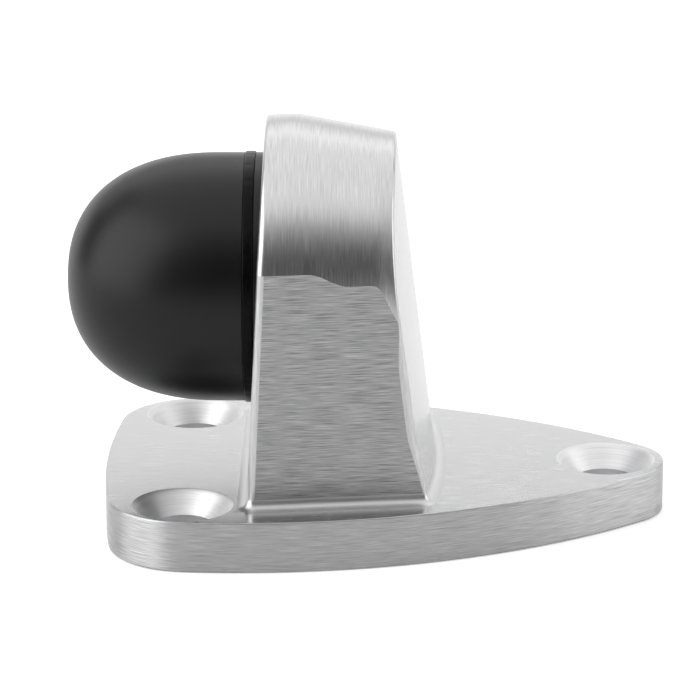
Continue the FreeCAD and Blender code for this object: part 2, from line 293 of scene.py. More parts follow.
@dataclass
class ShellBuilder:
    """Welds patches into one closed mesh object.

    Args:
        name: the piece's name.
        materials: the finishes, in the order of the patches' numbers.
        origin_y: place of the drawing frame's y = 0 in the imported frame, in millimetres.
        crease_degrees: two patches that meet at more than this angle keep a crisp edge.
    """

    name: str
    materials: list[bpy.types.Material]
    origin_y: float
    crease_degrees: float = 6.0
    patches: list[Patch] = field(default_factory=list)

    def build(self) -> bpy.types.Object:
        """Make the object, with its brushing map, its finishes and crisp edges between patches.

        Returns:
            The object, linked to the scene.
        """
        mesh = bpy.data.meshes.new(self.name)
        starts = np.cumsum([0] + [len(p.points) for p in self.patches])
        points = np.concatenate([p.points for p in self.patches])
        faces = [f for p, s in zip(self.patches, starts) for f in (p.faces + s).tolist()]
        mesh.from_pydata(((points + [0.0, self.origin_y, 0.0]) * MM).tolist(), [], faces)
        counts = [len(p.faces) for p in self.patches]
        mesh.polygons.foreach_set("material_index", np.repeat([p.finish for p in self.patches], counts))
        mesh.polygons.foreach_set("use_smooth", np.ones(len(faces), bool))
        patch_of = mesh.attributes.new("patch", "INT", "FACE")
        patch_of.data.foreach_set("value", np.repeat(np.arange(len(counts)), counts).astype(np.int32))
        corner = np.empty(len(mesh.loops), np.int32)
        mesh.loops.foreach_get("vertex_index", corner)
        brush = np.concatenate([p.brush for p in self.patches])
        mesh.uv_layers.new(name="brushing").data.foreach_set("uv", brush[corner].ravel())
        for material in self.materials:
            mesh.materials.append(material)
        self.weld(mesh)
        piece = bpy.data.objects.new(self.name, mesh)
        bpy.context.scene.collection.objects.link(piece)
        shading = piece.modifiers.new("flat faces stay flat", "WEIGHTED_NORMAL")
        shading.keep_sharp = True
        shading.mode = "FACE_AREA_WITH_ANGLE"
        return piece

    def weld(self, mesh: bpy.types.Mesh) -> None:
        """Join the patches' shared edges, point the faces outwards and mark the crisp edges.

        Args:
            mesh: the joined patches, changed in place.
        """
        work = bmesh.new()
        work.from_mesh(mesh)
        bmesh.ops.remove_doubles(work, verts=work.verts, dist=WELD)
        bmesh.ops.dissolve_degenerate(work, edges=work.edges, dist=WELD / 10.0)
        bmesh.ops.recalc_face_normals(work, faces=work.faces)
        patch_of = work.faces.layers.int["patch"]
        limit = math.radians(self.crease_degrees)
        for edge in work.edges:
            sides = {face[patch_of] for face in edge.link_faces}
            edge.smooth = len(sides) < 2 or edge.calc_face_angle(0.0) < limit
        loose = sum(1 for edge in work.edges if len(edge.link_faces) != 2)
        log.info("%s: %d faces, %d edges not shared by two faces", self.name, len(work.faces), loose)
        work.to_mesh(mesh)
        work.free()


# ------------------------------------------------------------------------------- finishes


@dataclass(frozen=True)
class BrushedPlate:
    """Satin chrome on a casting that was linished before plating: fine grooves along one way.

    The eye sees short streaks that run with the belt, lighter and darker than the metal, and a
    soft sheen that spreads across them.

    Args:
        name: material's name.
        colour: plate's colour, sRGB hex. Chromium reflects a little over half of the light.
        streak_width: width of a visible streak, mm. Real grit lines are finer and would not show.
        streak_length: length of a visible streak, mm.
        contrast: how far the streaks darken or lighten the colour, as a share.
        scratch: how far a few deeper scratches darken it, as a share.
        groove: depth of the grooves, mm.
        roughness: lowest and highest roughness.
        anisotropy: how much wider the sheen is across the grooves.
    """

    name: str
    colour: str = "C3C3C4"
    streak_width: float = 0.09
    streak_length: float = 3.6
    contrast: float = 0.3
    scratch: float = 0.25
    groove: float = 0.004
    roughness: tuple[float, float] = (0.3, 0.42)
    anisotropy: float = 0.4

    def material(self) -> bpy.types.Material:
        """Build the node material.

        Returns:
            The material.
        """
        material, tree = new_material(self.name)
        place = add(tree, "UVMap", uv_map="brushing").outputs["UV"]
        fine = (1.0 / self.streak_width, 1.0 / self.streak_length, 1.0)
        sparse = (0.8 / self.streak_width, 0.5 / self.streak_length, 1.0)
        along = add(tree, "Mapping", {"Vector": place, "Scale": fine}).outputs["Vector"]
        apart = add(tree, "Mapping", {"Vector": place, "Scale": sparse}).outputs["Vector"]
        streaks = add(tree, "TexNoise", {
            "Vector": along, "Scale": 1.0, "Detail": 2.0, "Roughness": 0.6}).outputs["Fac"]
        marks = add(tree, "TexNoise", {"Vector": apart, "Scale": 1.0, "Detail": 1.0}).outputs["Fac"]
        lighter = add(tree, "MapRange", {
            "Value": streaks, "From Min": 0.25, "From Max": 0.75,
            "To Min": 1.0 - self.contrast, "To Max": 1.0 + self.contrast}).outputs["Result"]
        darker = add(tree, "MapRange", {
            "Value": marks, "From Min": 0.6, "From Max": 0.72,
            "To Min": 1.0, "To Max": 1.0 - self.scratch}).outputs["Result"]
        shift = add(tree, "Math", {0: lighter, 1: darker}, operation="MULTIPLY").outputs["Value"]
        grey = add(tree, "HueSaturation", {
            "Color": linear(self.colour), "Value": shift}).outputs["Color"]
        rough = add(tree, "MapRange", {
            "Value": streaks, "From Min": 0.3, "From Max": 0.7,
            "To Min": self.roughness[0], "To Max": self.roughness[1]}).outputs["Result"]
        bump = add(tree, "Bump", {"Height": streaks, "Distance": self.groove * MM, "Strength": 1.0})
        tangent = add(tree, "Tangent", direction_type="UV_MAP", uv_map="brushing")
        shader = add(tree, "BsdfPrincipled", {
            "Base Color": grey, "Roughness": rough, "Normal": bump.outputs["Normal"],
            "Tangent": tangent.outputs["Tangent"], "Metallic": 1.0, "Anisotropic": self.anisotropy})
        add(tree, "OutputMaterial", {"Surface": shader.outputs["BSDF"]})
        return material


@dataclass(frozen=True)
class CastSkin:
    """Plated as-cast surface, never linished: a fine pebble from the mould, a little darker.

    Args:
        name: material's name.
        colour: plate's colour, sRGB hex. It is duller than where the metal was linished.
        pebble: size of the pebble, mm.
        relief: height of the pebble, mm.
    """

    name: str = "plated_as_cast_skin"
    colour: str = "8E8E90"
    pebble: float = 0.7
    relief: float = 0.03

    def material(self) -> bpy.types.Material:
        """Build the node material.

        Returns:
            The material.
        """
        material, tree = new_material(self.name)
        place = add(tree, "TexCoord").outputs["Object"]
        pebble = add(tree, "TexNoise", {
            "Vector": place, "Scale": 1.0 / (self.pebble * MM), "Detail": 5.0,
            "Roughness": 0.6}).outputs["Fac"]
        shift = add(tree, "MapRange", {"Value": pebble, "To Min": 0.8, "To Max": 1.15}).outputs["Result"]
        grey = add(tree, "HueSaturation", {"Color": linear(self.colour), "Value": shift}).outputs["Color"]
        bump = add(tree, "Bump", {"Height": pebble, "Distance": self.relief * MM, "Strength": 1.0})
        shader = add(tree, "BsdfPrincipled", {
            "Base Color": grey, "Roughness": 0.5, "Metallic": 1.0, "Normal": bump.outputs["Normal"]})
        add(tree, "OutputMaterial", {"Surface": shader.outputs["BSDF"]})
        return material


@dataclass(frozen=True)
class MouldedRubber:
    """Black rubber from a polished mould: near black, with a soft broad sheen and faint bloom.

    Args:
        name: material's name.
        colour: the rubber, sRGB hex. Carbon black leaves it almost no colour.
        bloom: where wax has come to the surface, sRGB hex.
        cloud: size of the bloom's clouds, mm.
        grain: size of the mould's grain, mm.
        relief: height of the grain, mm.
    """

    name: str = "moulded_black_rubber"
    colour: str = "070708"
    bloom: str = "0C0C0D"
    cloud: float = 6.0
    grain: float = 0.12
    relief: float = 0.004

    def material(self) -> bpy.types.Material:
        """Build the node material.

        Returns:
            The material.
        """
        material, tree = new_material(self.name)
        place = add(tree, "TexCoord").outputs["Object"]
        cloud = add(tree, "TexNoise", {
            "Vector": place, "Scale": 1.0 / (self.cloud * MM), "Detail": 3.0,
            "Roughness": 0.5}).outputs["Fac"]
        grain = add(tree, "TexNoise", {
            "Vector": place, "Scale": 1.0 / (self.grain * MM), "Detail": 2.0,
            "Roughness": 0.5}).outputs["Fac"]
        black = add(tree, "Mix", {"Factor": cloud, 6: linear(self.colour), 7: linear(self.bloom)},
                    data_type="RGBA").outputs[2]
        rough = add(tree, "MapRange", {"Value": cloud, "To Min": 0.34, "To Max": 0.42}).outputs["Result"]
        bump = add(tree, "Bump", {"Height": grain, "Distance": self.relief * MM, "Strength": 1.0})
        shader = add(tree, "BsdfPrincipled", {
            "Base Color": black, "Roughness": rough, "Normal": bump.outputs["Normal"],
            "IOR": 1.5, "Specular IOR Level": 0.3})
        add(tree, "OutputMaterial", {"Surface": shader.outputs["BSDF"]})
        return material


@dataclass(frozen=True)
class PlainSteel:
    """Small steel part: drawn, stamped or plated, with fine scratches and a slightly mottled coat.

    Args:
        name: material's name.
        colour: metal's colour, sRGB hex.
        shade: colour of its darker mottling, sRGB hex.
        mottle: size of the mottling, mm.
        roughness: lowest and highest roughness.
        relief: height of the surface's unevenness, mm.
    """

    name: str
    colour: str
    shade: str
    mottle: float
    roughness: tuple[float, float]
    relief: float = 0.004

    def material(self) -> bpy.types.Material:
        """Build the node material.

        Returns:
            The material.
        """
        material, tree = new_material(self.name)
        place = add(tree, "TexCoord").outputs["Object"]
        mottle = add(tree, "TexNoise", {
            "Vector": place, "Scale": 1.0 / (self.mottle * MM), "Detail": 5.0,
            "Roughness": 0.65}).outputs["Fac"]
        tint = add(tree, "Mix", {"Factor": mottle, 6: linear(self.shade), 7: linear(self.colour)},
                   data_type="RGBA").outputs[2]
        rough = add(tree, "MapRange", {
            "Value": mottle, "To Min": self.roughness[0], "To Max": self.roughness[1]}).outputs["Result"]
        bump = add(tree, "Bump", {"Height": mottle, "Distance": self.relief * MM, "Strength": 1.0})
        shader = add(tree, "BsdfPrincipled", {
            "Base Color": tint, "Roughness": rough, "Metallic": 1.0, "Normal": bump.outputs["Normal"]})
        add(tree, "OutputMaterial", {"Surface": shader.outputs["BSDF"]})
        return material


# ------------------------------------------------------------------------------- casting


class Finish(Enum):
    """The casting's finishes, numbered as its patches name them."""

    FLATS = 0
    HEAD = 1
    TOP = 2
    WALL = 3
    SINK = 4
    SKIN = 5
    FOOT = 6


@dataclass(frozen=True)
class ArchForm:
    """A post or its hollow: two upright flats that carry a round arch, between two end faces.

    The flats draw together by the taper. The arch is turned about the buffer's axis. Where the
    flats are narrower than the arch they cut it off, which leaves an arris on each side.

    Args:
        axis_z: height of the buffer's axis.
        half_width: half the distance between the flats at y = taper_from.
        taper: slope of each flat towards the back.
        taper_from: where half_width is measured.
        crest: gives the arch's height above the axis at places along y.
        spring: gives how far above the axis the arch springs from the flats, at places along y.
        front: gives y on the front face at heights.
        back: gives y on the back face at places (x, z).
        front_round: gives the radius of the edge round the front face at heights.
        back_round: gives the radius of the edge round the back face at heights.
        ease_length: length over which the arch's sides ease in before the back face.
        ease_radius: radius of that easing.
        ease_fade: height below the flat's top over which the easing fades out.
        flat_rows: rows of faces up a flat.
        arch_rows: rows of faces from the flat's top to the mirror plane.
        side_columns: columns of faces between the rounded edges.
        round_columns: columns of faces across a rounded edge.
        meet_rounds: rounds of looking up where a row meets an end face.
    """

    axis_z: float
    half_width: float
    taper: float
    taper_from: float
    crest: Callable[[np.ndarray], np.ndarray]
    spring: Callable[[np.ndarray], np.ndarray]
    front: Callable[[np.ndarray], np.ndarray]
    back: Callable[[np.ndarray, np.ndarray], np.ndarray]
    front_round: Callable[[np.ndarray], np.ndarray]
    back_round: Callable[[np.ndarray], np.ndarray]
    ease_length: float = 0.0
    ease_radius: float = 5.0
    ease_fade: float = 5.0
    flat_rows: int = 40
    arch_rows: int = 64
    side_columns: int = 30
    round_columns: int = 12
    meet_rounds: int = 12

    def at(self, rows: np.ndarray, y: np.ndarray, foot_z: float) -> np.ndarray:
        """Place on the right half: row 0 to 1 climbs the flat, row 1 to 2 goes round to the top.

        On the flat, z = foot + row (spring - foot) and x is the half width. The arch is an ellipse
        that passes through the flat's top: x = half width cos(a) / cos(spring angle) and
        z = axis + crest sin(a), where a grows evenly from the spring angle to 90 degrees. Near
        the back face the sides draw in by (distance into the easing)^2 / (2 easing radius). The
        easing fades out over the flat's top.

        Args:
            rows: row of each point.
            y: place along y of each point.
            foot_z: height where row 0 lies.

        Returns:
            Places, (..., 3).
        """
        width = self.half_width - (y - self.taper_from) * self.taper
        crest, spring = self.crest(y), self.spring(y)
        first = np.arcsin(np.clip(spring / crest, -1.0, 1.0))
        angle = first + np.maximum(rows - 1.0, 0.0) * (math.pi / 2.0 - first)
        top = self.axis_z + spring
        x = np.where(rows <= 1.0, width, width / np.cos(first) * np.cos(angle))
        z = np.where(rows <= 1.0, foot_z + rows * (top - foot_z), self.axis_z + crest * np.sin(angle))
        if self.ease_length > 0.0:
            into = np.clip(self.ease_length - (self.back(x, z) - y), 0.0, self.ease_length)
            fade = np.clip((z - top + self.ease_fade) / self.ease_fade, 0.0, 1.0)
            x = x * (1.0 - into ** 2 / (2.0 * self.ease_radius) * fade / width)
        return np.stack([x, y + 0.0 * x, z], axis=-1)

    def half(self, foot_z: float) -> np.ndarray:
        """Right half of the skin, from the front face's edge to the back face's, fillets included.

        Each row's line is followed to where it meets an end face. The rounded edge there starts
        one setback before that corner and ends one setback inside the face, and the setback is
        the radius times the tangent of half the turn.

        Args:
            foot_z: height where the lowest row lies.

        Returns:
            Places, (rows, columns, 3).
        """
        flat = np.linspace(0.0, 1.0, self.flat_rows + 1)
        rows = np.concatenate([flat, 1.0 + np.linspace(0.0, 1.0, self.arch_rows + 1)[1:]])
        ends = []
        for at_back, rounding in ((False, self.front_round), (True, self.back_round)):
            corner = self.meet(rows, foot_z, at_back)
            radius = rounding(corner[:, 2])
            step = -0.5 if at_back else 0.5
            along = unit(self.at(rows, corner[:, 1] + step, foot_z) - corner)
            inward = self.inward(corner, at_back)
            setback = radius * np.tan(np.arccos(np.clip((-along * inward).sum(-1), -1, 1)) / 2.0)
            start = self.at(rows, corner[:, 1] + setback * along[:, 1], foot_z)
            inner = self.onto_face(corner + inward * setback[:, None], at_back)
            inner[-1, 0] = 0.0
            ends.append((start, corner_arc(start, corner, inner, self.round_columns)))
        (front_start, front_arc), (back_start, back_arc) = ends
        share = np.linspace(0.0, 1.0, self.side_columns + 1)[None, :]
        y = front_start[:, 1:2] * (1.0 - share) + back_start[:, 1:2] * share
        side = self.at(rows[:, None] + 0.0 * y, y, foot_z)
        side[:, 0], side[:, -1] = front_start, back_start
        side[-1, :, 0] = 0.0
        return np.concatenate([front_arc[:, ::-1], side[:, 1:-1], back_arc], axis=1)

    def meet(self, rows: np.ndarray, foot_z: float, at_back: bool) -> np.ndarray:
        """Find where each row's line meets an end face, by looking up y again at the last place.

        Args:
            rows: row of each line.
            foot_z: height where row 0 lies.
            at_back: True for the back face.

        Returns:
            Places, (n, 3).
        """
        y = np.full(len(rows), self.taper_from)
        for _ in range(self.meet_rounds):
            place = self.at(rows, y, foot_z)
            y = self.onto_face(place, at_back)[:, 1]
        return self.at(rows, y, foot_z)

    def onto_face(self, places: np.ndarray, at_back: bool) -> np.ndarray:
        """Move places along y onto an end face.

        Args:
            places: the places, (..., 3).
            at_back: True for the back face.

        Returns:
            The moved places, (..., 3).
        """
        moved = places.copy()
        x, z = places[..., 0], places[..., 2]
        moved[..., 1] = self.back(x, z) if at_back else self.front(z) + 0.0 * x
        return moved

    def inward(self, edge: np.ndarray, at_back: bool) -> np.ndarray:
        """Unit direction within an end face, square to its edge and towards its middle.

        The edge's own direction comes from its neighbours in the x-z plane. The top row, on the
        mirror plane, points straight down and the lowest row points straight across.

        Args:
            edge: where the rows meet the face, (n, 3).
            at_back: True for the back face.

        Returns:
            Directions, (n, 3).
        """
        step = np.gradient(edge[:, [0, 2]], axis=0)
        normal = unit(np.stack([-step[:, 1], step[:, 0]], axis=-1))
        normal[0], normal[-1] = (-1.0, 0.0), (0.0, -1.0)
        probe = edge + 0.01 * np.stack([normal[:, 0], 0.0 * normal[:, 0], normal[:, 1]], axis=-1)
        return unit(self.onto_face(probe, at_back) - edge)

    def whole(self, foot_z: float) -> np.ndarray:
        """Both halves of the skin.

        Args:
            foot_z: height where the lowest rows lie.

        Returns:
            Places, (rows, columns, 3). Rows run from the right foot over the arch to the left foot.
        """
        right = self.half(foot_z)
        left = right[-2::-1] * [-1.0, 1.0, 1.0]
        return np.concatenate([right, left])

    def skin(self, foot_z: float, flat: int, arch: int) -> list[Patch]:
        """Patches of the flats and the arch. The flats' rounded edges share the arch's finish.

        Args:
            foot_z: height where the lowest rows lie.
            flat: finish of the flats, brushed along y.
            arch: finish of the arch and the rounded edges, brushed up and over.

        Returns:
            Right flat, its two edges, the arch, and the left flat with its edges.
        """
        points = self.whole(foot_z)
        last, first_flat = len(points) - 1, self.round_columns
        last_flat, end = first_flat + self.side_columns, points.shape[1] - 1
        level = points[:, points.shape[1] // 2]
        up = running_length(level)[:, None] + 0.0 * points[..., 1]
        over = np.stack([points[..., 1], up], axis=-1)
        straight = np.stack([points[..., 2], points[..., 1]], axis=-1)
        patches = [grid(*self.cut(points, over, self.flat_rows, last - self.flat_rows, 0, end), arch)]
        for low in (0, last - self.flat_rows):
            high = low + self.flat_rows
            patches += [
                grid(*self.cut(points, straight, low, high, first_flat, last_flat), flat),
                grid(*self.cut(points, over, low, high, 0, first_flat), arch),
                grid(*self.cut(points, over, low, high, last_flat, end), arch),
            ]
        return patches

    @staticmethod
    def cut(points: np.ndarray, brush: np.ndarray, low: int, high: int, left: int, right: int,
            ) -> tuple[np.ndarray, np.ndarray]:
        """Rows low to high and columns left to right of a grid and its brushing, ends included."""
        window = slice(low, high + 1), slice(left, right + 1)
        return points[window], brush[window]

    def end_loop(self, foot_z: float, at_back: bool) -> np.ndarray:
        """Inner edge of the rounding round an end face, from the right foot to the left foot."""
        return self.whole(foot_z)[:, -1 if at_back else 0]

    def back_face(self, foot_z: float, finish: int, columns: int = 24) -> Patch:
        """Crowned back face: level lines between mirrored edge points, laid on the crown.

        Args:
            foot_z: height where the lowest row lies.
            finish: number of the material.
            columns: columns of faces across it.

        Returns:
            The patch, brushed up and down.
        """
        edge = self.half(foot_z)[:, -1]
        share = np.linspace(1.0, -1.0, columns + 1)[None, :]
        x = edge[:, 0:1] * share
        z = edge[:, 2:3] + 0.0 * x
        points = np.stack([x, self.back(x, z), z], axis=-1)
        return grid(points, np.stack([x, z], axis=-1), finish)

    def section(self, foot_z: float, columns: int = 24) -> np.ndarray:
        """Closed level outline at the foot, anticlockwise seen from above.

        Args:
            foot_z: height of the outline.
            columns: segments across the back.

        Returns:
            Places, (n, 3), without a repeated last point.
        """
        right = self.half(foot_z)[0]
        share = np.linspace(1.0, -1.0, columns + 1)[1:-1]
        x = right[-1, 0] * share
        level = np.full_like(x, right[0, 2])
        rear = np.stack([x, self.back(x, level), level], axis=-1)
        left = right[::-1] * [-1.0, 1.0, 1.0]
        return np.concatenate([right, rear, left])


@dataclass
class Casting:
    """Base plate and hollow post, cast in one piece, linished and plated.

    The sizes are the design's, in millimetres and degrees. Length, width and place come from the
    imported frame. A spring is how far above the buffer's axis the head starts from the flats. Its
    step and its fall run between two distances behind the post's front foot. The front arris
    turns crisp between two heights above the axis, and the rear arris blends over two heights.
    """

    base_thickness: float = 6.2
    front_bow_radius: float = 120.0
    front_corner_radius: float = 10.0
    side_bow_radius: float = 75.0
    tip_radius: float = 7.05
    top_edge_round: float = 0.2
    floor_edge_round: float = 0.3
    hole_radius: float = 3.5
    sink_radius: float = 6.0
    sink_rim: float = 0.04
    front_hole_x: float = 17.4
    front_hole_y: float = 10.0
    axis_z: float = 29.3
    post_setback: float = 17.6
    post_foot_back: float = 40.21
    post_width: float = 38.4
    front_lean: float = 2.7
    back_lean: float = 7.0
    back_crown_radius: float = 78.0
    foot_crown_radius: float = 112.0
    crown_blend: float = 9.0
    front_spring: float = 5.5
    middle_spring: float = 3.9
    rear_spring: float = -1.3
    spring_step: tuple[float, float] = (7.4, 12.0)
    spring_fall: tuple[float, float] = (15.0, 18.6)
    ease_length: float = 1.4
    ease_radius: float = 6.0
    crisp_edge_round: float = 0.5
    side_taper: float = 7.3
    front_edge_round: float = 0.8
    rear_edge_round: float = 1.2
    front_crisping: tuple[float, float] = (8.0, 17.0)
    rear_foot_blend: float = 8.0
    rear_head_blend: float = 7.0
    foot_fillet: float = 1.2
    head_radius: float = 19.75
    head_crest_setback: float = 5.7
    head_front_fall: float = 4.0
    head_rear_fall: float = 10.3
    head_crest_round: float = 8.0
    seat_wall: float = 4.0
    back_wall: float = 3.6
    core_half_width: float = 13.4
    core_corner_round: float = 2.0
    seat_radius: float = 15.37
    stud_hole_radius: float = 3.3
    circle_steps: int = 120

    def __post_init__(self) -> None:
        """Read the outside sizes and the seat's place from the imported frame."""
        low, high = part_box("body_casting")
        self.origin_y = low.y / MM
        self.length = (high.y - low.y) / MM
        self.half_base = (high.x - low.x) / 2.0 / MM
        self.seat_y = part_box("mounting_plate")[1].y / MM - self.origin_y
        self.core_front_y = self.seat_y + self.seat_wall

    # ---- outline of the plate

    def outline(self, spacing: float = 0.9) -> tuple[np.ndarray, np.ndarray, np.ndarray]:
        """Shield outline as tangent arcs, anticlockwise from the middle of the front edge.

        Each arc is centre + radius (cos a, sin a), and its outward normal is (cos a, sin a).

        Args:
            spacing: distance between points, mm.

        Returns:
            Points and outward normals, (n, 2) each, and the distance along the outline, (n,). The
            last point repeats the first.
        """
        side_x = self.side_bow_radius - self.half_base
        tip_y = self.length - self.tip_radius
        side_y = tip_y - math.sqrt((self.side_bow_radius - self.tip_radius) ** 2 - side_x ** 2)
        side, front = np.array([-side_x, side_y]), np.array([0.0, self.front_bow_radius])
        reach_side = self.side_bow_radius - self.front_corner_radius
        reach_front = self.front_bow_radius - self.front_corner_radius
        gap = front - side
        apart = np.linalg.norm(gap)
        ahead = gap / apart
        along = (apart ** 2 + reach_side ** 2 - reach_front ** 2) / (2.0 * apart)
        aside = math.sqrt(reach_side ** 2 - along ** 2)
        corner = side + ahead * along + np.array([ahead[1], -ahead[0]]) * aside
        front_turn = math.atan2(*(corner - front)[::-1])
        side_turn = math.atan2(*(corner - side)[::-1])
        tip_turn = math.atan2(tip_y - side[1], -side[0])
        arcs = [
            (front, self.front_bow_radius, -math.pi / 2.0, front_turn),
            (corner, self.front_corner_radius, front_turn, side_turn),
            (side, self.side_bow_radius, side_turn, tip_turn),
            (np.array([0.0, tip_y]), self.tip_radius, tip_turn, math.pi / 2.0),
        ]
        points, normals = [], []
        for centre, radius, start, end in arcs:
            steps = max(int(math.ceil(radius * (end - start) / spacing)), 14)
            angle = np.linspace(start, end, steps + 1)[:-1]
            normal = np.stack([np.cos(angle), np.sin(angle)], axis=-1)
            points.append(centre + radius * normal)
            normals.append(normal)
        right, facing = np.concatenate(points), np.concatenate(normals)
        tip, up = np.array([[0.0, self.length]]), np.array([[0.0, 1.0]])
        mirror = np.array([-1.0, 1.0])
        whole = np.concatenate([right, tip, right[::-1] * mirror])
        facing = np.concatenate([facing, up, facing[::-1] * mirror])
        return whole, facing, running_length(whole)

    def wall(self) -> list[Patch]:
        """Plate's wall: a profile of a rounded floor edge, an upright band and a rounded top edge.

        The profile is carried round the outline. A point lies its first number inside the outline,
        along the outward normal, and its second number above the floor.

        Returns:
            Patches of the floor edge, the band and the top edge, brushed round the plate.
        """
        points, normals, length = self.outline()
        floor, top, rounding = self.floor_edge_round, self.base_thickness, self.top_edge_round
        turn = np.linspace(0.0, math.pi / 2.0, 11)
        bottom = np.stack([floor * (1.0 - np.sin(turn)), floor * (1.0 - np.cos(turn))], axis=-1)
        side = np.array([[0.0, floor], [0.0, top / 2.0], [0.0, top - rounding]])
        edge = np.stack([rounding * (1.0 - np.cos(turn)), top - rounding * (1.0 - np.sin(turn))], axis=-1)
        patches = []
        for profile in (bottom, side, edge):
            place = points[:, None] - normals[:, None] * profile[None, :, 0:1]
            level = profile[None, :, 1:2] + 0.0 * place[..., :1]
            up = running_length(profile)[None, :] + 0.0 * length[:, None]
            brush = np.stack([up, length[:, None] + 0.0 * up], axis=-1)
            patches.append(grid(np.concatenate([place, level], axis=-1), brush, Finish.WALL.value))
        return patches

    def holes(self) -> list[np.ndarray]:
        """Give the screw holes' places.

        Returns:
            Centres of the right, left and tip holes, (2,) each.
        """
        tip_y = self.length - self.tip_radius
        return [np.array(c) for c in (
            (self.front_hole_x, self.front_hole_y), (-self.front_hole_x, self.front_hole_y), (0.0, tip_y))]

    def circle(self, radius: float, centre: np.ndarray) -> np.ndarray:
        """Circle of points in a plane: centre + radius (cos a, sin a)."""
        angle = np.linspace(0.0, 2.0 * math.pi, self.circle_steps + 1)[:-1]
        return centre + radius * np.stack([np.cos(angle), np.sin(angle)], axis=-1)

    def screw_hole(self, centre: np.ndarray) -> Patch:
        """Countersink with a broken rim: a profile turned about z.

        Args:
            centre: of the hole.

        Returns:
            The cone's patch, down to the hole's neck.
        """
        top, rim = self.base_thickness, self.sink_rim
        neck = top - (self.sink_radius - self.hole_radius)
        slant = np.linspace(0.0, 1.0, 8)[:, None]
        cone = np.array([[top - rim, self.sink_radius - rim]]) * (1 - slant) + np.array(
            [[neck, self.hole_radius]]) * slant
        profile = np.concatenate([[[top, self.sink_radius + rim]], cone])
        return turned(profile, np.array([*centre, 0.0]), 2, Finish.SINK.value, self.circle_steps)

    def screw_bore(self, centre: np.ndarray) -> Patch:
        """Straight part of a screw hole: a profile turned about z.

        Args:
            centre: of the hole.

        Returns:
            The bore's patch, from the countersink's neck to the floor.
        """
        neck = self.base_thickness - (self.sink_radius - self.hole_radius)
        profile = np.array([[neck, self.hole_radius], [0.0, self.hole_radius]])
        return turned(profile, np.array([*centre, 0.0]), 2, Finish.SINK.value, self.circle_steps)

    # ---- post

    def head_profile(self, y: np.ndarray) -> np.ndarray:
        """Radius of the round head at places along y.

        Two straight lines rise to the crest from the front and from the back. An arc tangent to
        both takes the place of their corner.

        Args:
            y: places along y.

        Returns:
            The radius at each place.
        """
        crest_y = self.post_setback + self.head_crest_setback
        rise, fall = math.radians(self.head_front_fall), math.radians(self.head_rear_fall)
        setback = self.head_crest_round * math.tan((rise + fall) / 2.0)
        start_y = crest_y - setback * math.cos(rise)
        end_y = crest_y + setback * math.cos(fall)
        centre_y = start_y + self.head_crest_round * math.sin(rise)
        centre_r = self.head_radius - setback * math.sin(rise) - self.head_crest_round * math.cos(rise)
        arc = centre_r + np.sqrt(np.maximum(self.head_crest_round ** 2 - (y - centre_y) ** 2, 0.0))
        front = self.head_radius - (crest_y - y) * math.tan(rise)
        back = self.head_radius - (y - crest_y) * math.tan(fall)
        return np.where(y < start_y, front, np.where(y > end_y, back, arc))

    def front_plane(self, z: np.ndarray) -> np.ndarray:
        """Leaning front face: y grows with height by the tangent of the lean."""
        return self.post_setback + (z - self.base_thickness) * math.tan(math.radians(self.front_lean))

    def crown(self, inset: float) -> Callable[[np.ndarray, np.ndarray], np.ndarray]:
        """Crowned back face, set in by a wall.

        At a height its crest lies at foot - height tan(lean), and at x it falls back by
        x^2 / (2 radius) / cos(lean). The crown flattens towards the foot.

        Args:
            inset: thickness of the wall, square to the face.

        Returns:
            The function that gives y at places (x, z).
        """
        lean = math.radians(self.back_lean)

        def place(x: np.ndarray, z: np.ndarray) -> np.ndarray:
            """Place along y of the crown at x and z."""
            crest = self.post_foot_back - (z - self.base_thickness) * math.tan(lean)
            share = ramp(z, self.base_thickness, self.base_thickness + self.crown_blend)
            curve = (1.0 - share) / self.foot_crown_radius + share / self.back_crown_radius
            return crest - (x ** 2 * curve / 2.0 + inset) / math.cos(lean)

        return place

    def spring(self, y: np.ndarray) -> np.ndarray:
        """Height above the axis where the round head starts: it steps down, then falls at the back.

        Args:
            y: places along y.

        Returns:
            The height at each place.
        """
        into = y - self.post_setback
        lower = ramp(into, *self.spring_step)
        last = ramp(into, *self.spring_fall)
        high = self.front_spring + lower * (self.middle_spring - self.front_spring)
        return high + last * (self.rear_spring - self.middle_spring)

    def front_rounding(self, z: np.ndarray) -> np.ndarray:
        """Radius of the front arris: soft below, crisp over the top of the head."""
        share = ramp(z - self.axis_z, *self.front_crisping)
        return self.front_edge_round + share * (self.crisp_edge_round - self.front_edge_round)

    def rear_rounding(self, z: np.ndarray) -> np.ndarray:
        """Radius of the rear arris: crisp at the head and the foot, worn soft by the belt between.

        Args:
            z: heights.

        Returns:
            The radius at each height.
        """
        foot = self.base_thickness + self.foot_fillet
        below_head = ramp(z, self.axis_z - self.rear_head_blend, self.axis_z)
        soft = ramp(z, foot, foot + self.rear_foot_blend) * (1.0 - below_head)
        return self.crisp_edge_round + soft * (self.rear_edge_round - self.crisp_edge_round)

    def post(self) -> ArchForm:
        """Give the outside of the post.

        Returns:
            Its form, with the head's profile and the two leaning end faces.
        """
        return ArchForm(
            self.axis_z, self.post_width / 2.0, math.tan(math.radians(self.side_taper)), self.post_setback,
            self.head_profile, self.spring, self.front_plane, self.crown(0.0),
            self.front_rounding, self.rear_rounding, self.ease_length, self.ease_radius)

